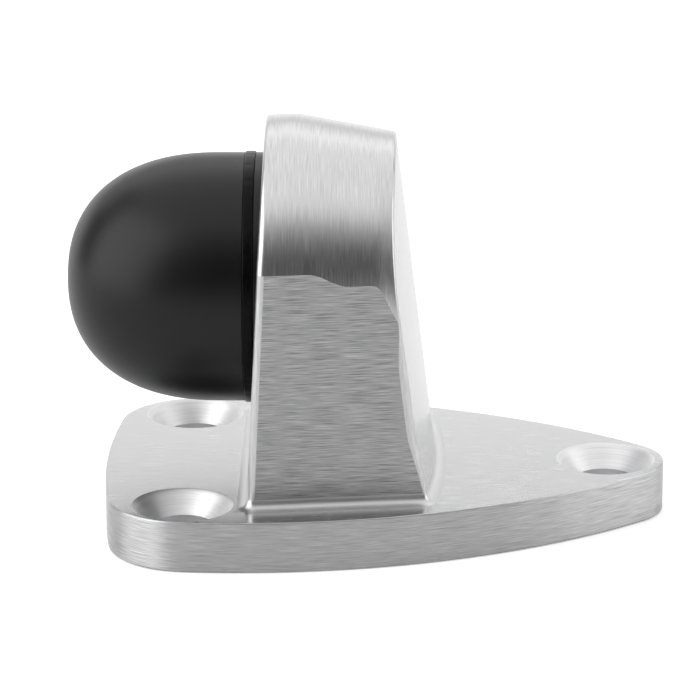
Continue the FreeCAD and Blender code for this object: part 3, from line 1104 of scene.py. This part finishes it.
    def core(self) -> ArchForm:
        """Give the hollow inside the post.

        Returns:
            Its form: upright flats, a half round arch and a back wall of even thickness.
        """
        return ArchForm(
            self.axis_z, self.core_half_width, 0.0, self.core_front_y,
            lambda y: self.core_half_width + 0.0 * y, lambda y: 0.0 * y,
            lambda z: self.core_front_y + 0.0 * z,
            self.crown(self.back_wall), lambda z: self.core_corner_round + 0.0 * z,
            lambda z: self.core_corner_round + 0.0 * z)

    def foot(self, post: ArchForm) -> tuple[Patch, np.ndarray]:
        """Fillet where the post runs into the plate, and its outer edge on the plate.

        The arc starts on the post one radius up, turns at the post's own outline and ends on the
        plate one radius out along the outline's outward normal.

        Args:
            post: outside of the post.

        Returns:
            The fillet's patch and its outer edge, (n, 3).
        """
        high = post.section(self.base_thickness + self.foot_fillet)
        low = post.section(self.base_thickness)
        step = np.roll(low, -1, axis=0) - np.roll(low, 1, axis=0)
        outward = unit(np.stack([step[:, 1], -step[:, 0], 0.0 * step[:, 0]], axis=-1))
        out = low + outward * self.foot_fillet
        arc = corner_arc(high, low, out, 10)
        arc = np.concatenate([arc, arc[:1]])
        length = running_length(arc[:, 0])[:, None] + 0.0 * arc[..., 0]
        up = running_length(arc[0])[None, :] + 0.0 * length
        return grid(arc, np.stack([up, length], axis=-1), Finish.FOOT.value), out

    def front_face(self, post: ArchForm) -> list[Patch]:
        """Front face with the buffer's seat sunk into it, and the stud's hole.

        Args:
            post: outside of the post.

        Returns:
            Patches of the face, the seat's wall, the seat's floor and the stud's hole.
        """
        foot_z = self.base_thickness + self.foot_fillet
        axis = np.array([0.0, self.axis_z])
        seat = self.circle(self.seat_radius, axis)
        bore = self.circle(self.stud_hole_radius, axis)
        edge = post.end_loop(foot_z, False)[:, [0, 2]]

        def on_front(p: np.ndarray) -> np.ndarray:
            """Put (x, z) points on the leaning front face."""
            return np.stack([p[:, 0], self.front_plane(p[:, 1]), p[:, 1]], axis=-1)

        def on_seat(p: np.ndarray) -> np.ndarray:
            """Put (x, z) points on the upright floor of the seat."""
            return np.stack([p[:, 0], self.seat_y + 0.0 * p[:, 0], p[:, 1]], axis=-1)

        rim, floor = on_front(seat), on_seat(seat)
        wall = np.stack([rim, floor], axis=1)
        wall = np.concatenate([wall, wall[:1]])
        turn = running_length(wall[:, 0])[:, None] + np.zeros((1, 2))
        through = np.array([[y, self.stud_hole_radius] for y in (self.seat_y, self.core_front_y)])
        return [
            flat_region([edge, seat], on_front, 1, Finish.TOP.value),
            grid(wall, np.stack([turn, turn], axis=-1), Finish.SINK.value),
            flat_region([seat, bore], on_seat, 0, Finish.SINK.value),
            turned(through, np.array([0.0, *axis]), 1, Finish.SINK.value, self.circle_steps),
        ]

    def hollow(self, core: ArchForm) -> list[Patch]:
        """Inside of the post.

        Args:
            core: form of the hollow.

        Returns:
            Patches of the arch, the front wall with the stud's hole, and the back wall.
        """
        skin = Finish.SKIN.value
        bore = self.circle(self.stud_hole_radius, np.array([0.0, self.axis_z]))
        edge = core.end_loop(0.0, False)[:, [0, 2]]

        def on_wall(p: np.ndarray) -> np.ndarray:
            """Put (x, z) points on the hollow's front wall."""
            return np.stack([p[:, 0], self.core_front_y + 0.0 * p[:, 0], p[:, 1]], axis=-1)

        return [*core.skin(0.0, skin, skin), flat_region([edge, bore], on_wall, 1, skin),
                core.back_face(0.0, skin)]

    def level(self, height: float) -> Callable[[np.ndarray], np.ndarray]:
        """Give the function that puts plane points at a height."""
        return lambda p: np.stack([p[:, 0], p[:, 1], height + 0.0 * p[:, 0]], axis=-1)

    def build(self) -> bpy.types.Object:
        """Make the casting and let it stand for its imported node.

        Returns:
            The casting.
        """
        finishes = {
            # Coarse belt along y: dark and light streaks, and a sheen drawn out up and down. Its colour is
            # darker than the rest of the plate: partly the coarse belt, partly painted shade on the post's
            # flats.
            Finish.FLATS: BrushedPlate(
                "satin_chrome_belt_linished_flats", colour="B4B4B5", contrast=0.6, scratch=0.35,
                roughness=(0.36, 0.46), anisotropy=0.8),
            # Finer belt over the head: faint lines that climb, and a smooth change of tone.
            Finish.HEAD: BrushedPlate(
                "satin_chrome_cross_linished_head", contrast=0.2, scratch=0.1, groove=0.003,
                roughness=(0.3, 0.38), anisotropy=0.1),
            # Finest belt: almost even. Its pale colour is partly the fine belt, partly painted light on
            # the plate's top and the post's end faces.
            Finish.TOP: BrushedPlate(
                "satin_chrome_fine_linished_top", colour="D0D0D1", contrast=0.06, scratch=0.0,
                streak_width=0.25, groove=0.001, roughness=(0.2, 0.28), anisotropy=0.2),
            # Belt round the plate's edge: short level streaks.
            Finish.WALL: BrushedPlate(
                "satin_chrome_linished_edge", colour="BDBDBE", contrast=0.34,
                roughness=(0.36, 0.46), anisotropy=0.8),
            # Turned with a cutter: long faint rings, and soft. Its pale colour is painted light in the
            # countersinks, the seat and the stud's hole, where shade falls.
            Finish.SINK: BrushedPlate(
                "satin_chrome_turned_countersink", colour="DEDEDF", contrast=0.14, scratch=0.1,
                streak_width=0.1, streak_length=12.0, roughness=(0.42, 0.52), anisotropy=0.0),
            # Out of the mould and plated, in the hollow and underneath: dull and pebbled.
            Finish.SKIN: CastSkin(),
            # Blended by hand where the belt can't reach: even and a little soft.
            Finish.FOOT: BrushedPlate(
                "satin_chrome_hand_blended_fillet", colour="C8C8C9", contrast=0.06, scratch=0.0,
                roughness=(0.36, 0.46)),
        }
        builder = ShellBuilder(
            "linished_casting", [finishes[f].material() for f in Finish], self.origin_y)
        post, core = self.post(), self.core()
        foot_z = self.base_thickness + self.foot_fillet
        fillet, foot_edge = self.foot(post)
        points, normals, _ = self.outline()
        top_edge = (points - normals * self.top_edge_round)[:-1]
        floor_edge = (points - normals * self.floor_edge_round)[:-1]
        rims = [self.circle(self.sink_radius + self.sink_rim, c) for c in self.holes()]
        bores = [self.circle(self.hole_radius, c) for c in self.holes()]
        top_loops = [top_edge, foot_edge[:, :2], *rims]
        floor_loops = [floor_edge, core.section(0.0)[:, :2], *bores]
        builder.patches = [
            *self.wall(),
            flat_region(top_loops, self.level(self.base_thickness), 1, Finish.TOP.value),
            flat_region(floor_loops, self.level(0.0), 1, Finish.SKIN.value),
            *[self.screw_hole(c) for c in self.holes()],
            *[self.screw_bore(c) for c in self.holes()],
            fillet,
            *post.skin(foot_z, Finish.FLATS.value, Finish.HEAD.value),
            post.back_face(foot_z, Finish.TOP.value),
            *self.front_face(post),
            *self.hollow(core),
        ]
        piece = builder.build()
        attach(piece, "stop")
        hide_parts("body_casting")
        return piece


# ------------------------------------------------------------------------------- buffer


@dataclass
class Buffer:
    """Domed rubber with the band's groove, hollow for the plate and the stud's head.

    Args:
        dome_length: from the nose to where the rubber is straight.
        dome_fullness: the superellipse's power. 2 is a plain ellipse, and more is blunter.
        rear_edge_round: radius of the rear rim.
        gap: clearance round the band, the plate and the stud's head.
        lip: thickness of the rubber behind the plate.
        band_thickness: of the band, which sits in the groove.
        boss_hole_radius: radius of the hole in the lip for the plate's boss.
        head_pocket_radius: radius of the pocket for the stud's head.
        still_margin: not used.
        steps: segments in a full turn.
    """

    dome_length: float = 18.6
    dome_fullness: float = 2.33
    rear_edge_round: float = 0.2
    gap: float = 0.05
    lip: float = 0.8
    band_thickness: float = 0.6
    boss_hole_radius: float = 7.05
    head_pocket_radius: float = 6.05
    still_margin: float = 0.3
    steps: int = 160

    def build(self) -> bpy.types.Object:
        """Turn the rubber about its axis.

        The dome is a superellipse: its distance from the nose is length (1 - cos(t)^(2/n)) and its
        distance from the axis is radius sin(t)^(2/n), where n is the fullness.

        Returns:
            The rubber.
        """
        low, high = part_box("rubber_buffer")
        radius = (high.x - low.x) / 2.0 / MM
        axis = np.array([0.0, 0.0, (low.z + high.z) / 2.0 / MM])
        nose, rear = low.y / MM, high.y / MM
        band_low, band_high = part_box("retaining_band")
        plate_low, plate_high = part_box("mounting_plate")
        stud_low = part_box("buffer_stud")[0]
        groove = band_high.x / MM - self.band_thickness - self.gap
        plate_radius = plate_high.x / MM + self.gap
        lip = rear - self.lip + self.gap
        plate_front, stud_front = plate_low.y / MM - self.gap, stud_low.y / MM - self.gap
        t = np.linspace(0.0, math.pi / 2.0, 65)
        dome = np.stack([
            nose + self.dome_length * (1.0 - np.cos(t) ** (2.0 / self.dome_fullness)),
            radius * np.sin(t) ** (2.0 / self.dome_fullness)], axis=-1)
        turn = np.linspace(0.0, math.pi / 2.0, 7)
        edge = np.stack([
            rear - self.rear_edge_round * (1.0 - np.sin(turn)),
            radius - self.rear_edge_round * (1.0 - np.cos(turn))], axis=-1)
        inner = np.array([
            (rear, self.boss_hole_radius), (lip, self.boss_hole_radius), (lip, plate_radius),
            (plate_front, plate_radius), (plate_front, self.head_pocket_radius),
            (stud_front, self.head_pocket_radius), (stud_front, 0.0)])
        groove_line = np.array([
            (band_low.y / MM - self.gap, radius), (band_low.y / MM - self.gap, groove),
            (band_high.y / MM + self.gap, groove), (band_high.y / MM + self.gap, radius)])
        builder = ShellBuilder("rubber_dome", [MouldedRubber().material()], 0.0, crease_degrees=20.0)
        lines = [dome, np.stack([dome[-1], groove_line[0]])]
        lines += [np.stack(pair) for pair in zip(groove_line[:-1], groove_line[1:])]
        lines += [np.stack([groove_line[-1], edge[0]]), edge, np.stack([edge[-1], inner[0]])]
        lines += [np.stack(pair) for pair in zip(inner[:-1], inner[1:])]
        builder.patches = [turned(line, axis, 1, 0, self.steps) for line in lines]
        piece = builder.build()
        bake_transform(piece)
        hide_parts("rubber_buffer")
        return piece


@dataclass
class Band:
    """Thin blackened steel strip round the rubber's rear lip, with broken edges and light crimps.

    Args:
        edge_round: radius of its outer edges.
        thickness: of the strip.
        crimps: how many dips there are round it.
        crimp_depth: of a dip.
        steps: segments in a full turn, a whole number for each crimp.
    """

    edge_round: float = 0.15
    thickness: float = 0.6
    crimps: int = 28
    crimp_depth: float = 0.035
    steps: int = 336

    def build(self) -> bpy.types.Object:
        """Turn the strip's section about the buffer's axis.

        The outside dips at each crimp by depth max(cos(crimps x angle), 0)^6.

        Returns:
            The strip.
        """
        low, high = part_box("retaining_band")
        outer = (high.x - low.x) / 2.0 / MM
        inner = outer - self.thickness
        axis = np.array([0.0, 0.0, (low.z + high.z) / 2.0 / MM])
        front, back, r = low.y / MM, high.y / MM, self.edge_round
        turn = np.linspace(0.0, math.pi / 2.0, 5)
        rise = np.stack([front + r * (1.0 - np.cos(turn)), outer - r * (1.0 - np.sin(turn))], axis=-1)
        fall = np.stack([back - r * (1.0 - np.sin(turn)), outer - r * (1.0 - np.cos(turn))], axis=-1)
        section = np.concatenate([[(front, inner)], rise, fall, [(back, inner), (front, inner)]])
        # Rolled steel, chemically blackened: a dull near-black with a faint mottle.
        steel = PlainSteel("blackened_rolled_steel_strip", "1E1E1F", "101011", 0.8, (0.3, 0.48), 0.01)
        builder = ShellBuilder("retaining_strip", [steel.material()], 0.0, crease_degrees=30.0)

        def crimped(angle: np.ndarray, y: np.ndarray, old: np.ndarray) -> np.ndarray:
            """Distance from the axis, less the crimp's dip on the outside."""
            dip = self.crimp_depth * np.maximum(np.cos(self.crimps * angle), 0.0) ** 6
            return np.where(old > (inner + outer) / 2.0, old - dip, old)

        builder.patches = [reshape(turned(section, axis, 1, 0, self.steps), axis, crimped)]
        piece = builder.build()
        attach(piece, "stop")
        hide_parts("retaining_band")
        return piece


@dataclass
class Stud:
    """Flat-headed stud with a rolled M6 thread behind a plain neck.

    Args:
        head_thickness: of the head.
        radius: of the neck and of the thread's crests.
        neck: length of the plain part behind the head.
        run_in: length over which the thread reaches its depth.
        pitch: of the thread.
        thread_depth: of the thread.
        crest_flat: share of the half pitch that the flat crest takes.
        flank: share of the half pitch that a flank takes.
        end_chamfer: of the stud's end.
        rows_per_pitch: rows of faces along one pitch.
        steps: segments in a full turn.
    """

    head_thickness: float = 2.0
    radius: float = 3.0
    neck: float = 4.5
    run_in: float = 1.0
    pitch: float = 1.0
    thread_depth: float = 0.54
    crest_flat: float = 0.125
    flank: float = 0.75
    end_chamfer: float = 0.8
    rows_per_pitch: int = 12
    steps: int = 72

    def build(self, zinc: PlainSteel) -> bpy.types.Object:
        """Turn the head and the neck, and cut the thread as a helical V.

        The V's depth at an angle and a place y follows how far y / pitch - angle / turn lies from
        a whole number. It fades in after the neck, and a 45 degree chamfer trims the end.

        Args:
            zinc: finish of the stud.

        Returns:
            The stud.
        """
        low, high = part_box("buffer_stud")
        axis = np.array([0.0, 0.0, (low.z + high.z) / 2.0 / MM])
        front, end, head = low.y / MM, high.y / MM, (high.x - low.x) / 2.0 / MM
        shoulder = front + self.head_thickness
        start = shoulder + self.neck

        def threaded(angle: np.ndarray, y: np.ndarray, old: np.ndarray) -> np.ndarray:
            """Distance from the axis, less the thread's V and the end's chamfer."""
            turn = y / self.pitch - angle / (2.0 * math.pi)
            wave = np.abs(2.0 * (turn - np.floor(turn)) - 1.0)
            depth = self.thread_depth * np.clip((wave - self.crest_flat) / self.flank, 0.0, 1.0)
            cut = old - depth * ramp(y, start, start + self.run_in)
            return np.minimum(cut, self.radius - np.maximum(y - (end - self.end_chamfer), 0.0))

        rows = int((end - start) / self.pitch * self.rows_per_pitch)
        along = np.linspace(start, end, rows + 1)
        tip = self.radius - self.end_chamfer
        lines = [
            [(front, 0.0), (front, head)], [(front, head), (shoulder, head)],
            [(shoulder, head), (shoulder, self.radius)], [(shoulder, self.radius), (start, self.radius)],
            [(end, tip), (end, 0.0)]]
        builder = ShellBuilder("threaded_stud", [zinc.material()], 0.0, crease_degrees=30.0)
        builder.patches = [turned(np.array(line), axis, 1, 0, self.steps) for line in lines]
        thread = turned(np.stack([along, self.radius + 0.0 * along], axis=-1), axis, 1, 0, self.steps)
        builder.patches.append(reshape(thread, axis, threaded))
        piece = builder.build()
        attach(piece, "stop")
        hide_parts("buffer_stud")
        return piece


@dataclass
class Fastening:
    """Plate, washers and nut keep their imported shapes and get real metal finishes; the stud is new."""

    def dress(self) -> None:
        """Make the stud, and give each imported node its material."""
        # Bright zinc plate: pale and slightly blue, with a clear sheen.
        zinc = PlainSteel("bright_zinc_plated_steel", "D3D6DB", "AEB3BA", 1.5, (0.2, 0.34))
        log.info("built %s", Stud().build(zinc).name)
        # Mild steel as stamped: mid grey, satin.
        stamped = PlainSteel("stamped_mild_steel", "9C9C9E", "7A7A7D", 2.0, (0.32, 0.5))
        # Hardened and oiled: dark grey with darker patches.
        spring = PlainSteel("oiled_spring_steel", "6B6B70", "3C3C41", 0.9, (0.28, 0.42))
        coats = {"mounting_plate": stamped, "plain_washer": zinc,
                 "spring_washer": spring, "hex_nut": zinc}
        made = {coat: coat.material() for coat in set(coats.values())}
        for node, coat in coats.items():
            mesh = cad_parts[node].data
            mesh.materials.clear()
            mesh.materials.append(made[coat])
            log.info("%s: %s", node, coat.name)


# ------------------------------------------------------------------------------- studio


@dataclass(frozen=True)
class SoftBox:
    """A large soft light that the camera doesn't see.

    Args:
        name: light's name.
        place: its middle, metres.
        aim: the point that it faces, metres.
        size: width and height, metres.
        brightness: radiance of its face. A white card that shows as white has 1.
    """

    name: str
    place: tuple[float, float, float]
    aim: tuple[float, float, float]
    size: tuple[float, float]
    brightness: float

    def build(self) -> bpy.types.Object:
        """Make the light. Its power is radiance x pi x area.

        Returns:
            The light.
        """
        light = bpy.data.lights.new(self.name, "AREA")
        light.shape = "RECTANGLE"
        light.size, light.size_y = self.size
        light.energy = self.brightness * math.pi * self.size[0] * self.size[1]
        lamp = bpy.data.objects.new(self.name, light)
        bpy.context.scene.collection.objects.link(lamp)
        lamp.location = self.place
        toward = Vector(self.aim) - Vector(self.place)
        lamp.rotation_euler = toward.to_track_quat("-Z", "Y").to_euler()
        lamp.visible_camera = False
        return lamp


@dataclass
class Studio:
    """Pale floor, soft boxes and the camera.

    Args:
        azimuth: camera's direction, degrees from the front and round the stop.
        elevation: camera's height above the floor, degrees.
        distance: from the camera to its target, metres.
        target: where the camera points, metres.
        lens: focal length, mm.
        floor_side: side of the floor, metres.
        floor_drop: how far the floor lies below the stop's underside, mm, so that they don't flicker.
        card_glow: glow of the floor that the camera sees.
        room_grey: what the metal reflects beyond the lights, sRGB hex.
    """

    azimuth: float = 90.488
    elevation: float = 17.301
    distance: float = 0.4999
    target: tuple[float, float, float] = (0.0, -0.00215, 0.02001)
    lens: float = 211.76
    floor_side: float = 8.0
    floor_drop: float = 0.05
    card_glow: float = 0.3
    room_grey: str = "202020"

    def camera(self) -> None:
        """Long lens, a little above the plate, square to the stop's side."""
        a, e = math.radians(self.azimuth), math.radians(self.elevation)
        back = Vector((math.sin(a) * math.cos(e), -math.cos(a) * math.cos(e), math.sin(e)))
        data = bpy.data.cameras.new("camera")
        data.lens = self.lens
        data.clip_start = 0.01
        camera = bpy.data.objects.new("camera", data)
        camera.location = Vector(self.target) + back * self.distance
        camera.rotation_euler = (-back).to_track_quat("-Z", "Y").to_euler()
        bpy.context.scene.collection.objects.link(camera)
        bpy.context.scene.camera = camera

    def floor(self) -> None:
        """Seamless white card under the stop."""
        half, low = self.floor_side / 2.0, -self.floor_drop * MM
        mesh = bpy.data.meshes.new("floor")
        mesh.from_pydata([(-half, -half, low), (half, -half, low), (half, half, low), (-half, half, low)],
                         [], [(0, 1, 2, 3)])
        # Matt white card. It glows a little for the camera only, so that it shows as white.
        material, tree = new_material("white_card")
        seen = add(tree, "LightPath").outputs["Is Camera Ray"]
        glow = add(tree, "Math", {0: seen, 1: self.card_glow}, operation="MULTIPLY").outputs["Value"]
        shader = add(tree, "BsdfPrincipled", {
            "Base Color": linear("F2F2F2"), "Roughness": 0.9, "Emission Color": linear("FFFFFF"),
            "Emission Strength": glow})
        add(tree, "OutputMaterial", {"Surface": shader.outputs["BSDF"]})
        mesh.materials.append(material)
        floor = bpy.data.objects.new("floor", mesh)
        bpy.context.scene.collection.objects.link(floor)

    def room(self) -> None:
        """A dim grey room to reflect, which the camera sees as white."""
        world = bpy.data.worlds.new("studio")
        bpy.context.scene.world = world
        world.use_nodes = True
        tree = world.node_tree
        tree.nodes.clear()
        seen = add(tree, "LightPath").outputs["Is Camera Ray"]
        colour = add(tree, "Mix", {"Factor": seen, 6: linear(self.room_grey), 7: linear("FFFFFF")},
                     data_type="RGBA").outputs[2]
        backdrop = add(tree, "Background", {"Color": colour, "Strength": 1.0})
        add(tree, "OutputWorld", {"Surface": backdrop.outputs["Background"]})

    def build(self) -> None:
        """Set the whole studio up: the flat sides mirror the dim room, and the head mirrors the boxes."""
        self.camera()
        self.floor()
        self.room()
        SoftBox("overhead", (-0.2, 0.0, 0.9), (-0.2, 0.0, 0.0), (1.6, 1.3), 1.25).build()
        SoftBox("overhead edge", (0.85, 0.0, 0.9), (0.85, 0.0, 0.0), (0.5, 1.3), 0.35).build()
        SoftBox("backdrop", (-0.95, 0.0, 0.12), (0.0, 0.0, 0.12), (2.4, 0.46), 1.4).build()
        SoftBox("high backdrop", (-0.95, 0.0, 0.7), (0.0, 0.0, 0.1), (2.4, 0.44), 1.3).build()
        SoftBox("front side", (0.3, -0.85, 0.5), (0.0, 0.0, 0.15), (1.2, 1.1), 2.8).build()
        SoftBox("tip side", (0.0, 0.95, 0.45), (0.0, 0.0, 0.15), (1.0, 0.9), 2.1).build()
        bpy.context.scene.view_settings.view_transform = "Standard"


def main() -> None:
    """Build the studio and every piece, and report each piece."""
    Studio().build()
    for maker in (Casting(), Buffer(), Band()):
        piece = maker.build()
        log.info("built %s", piece.name)
    Fastening().dress()


if __name__ == "__main__":
    main()
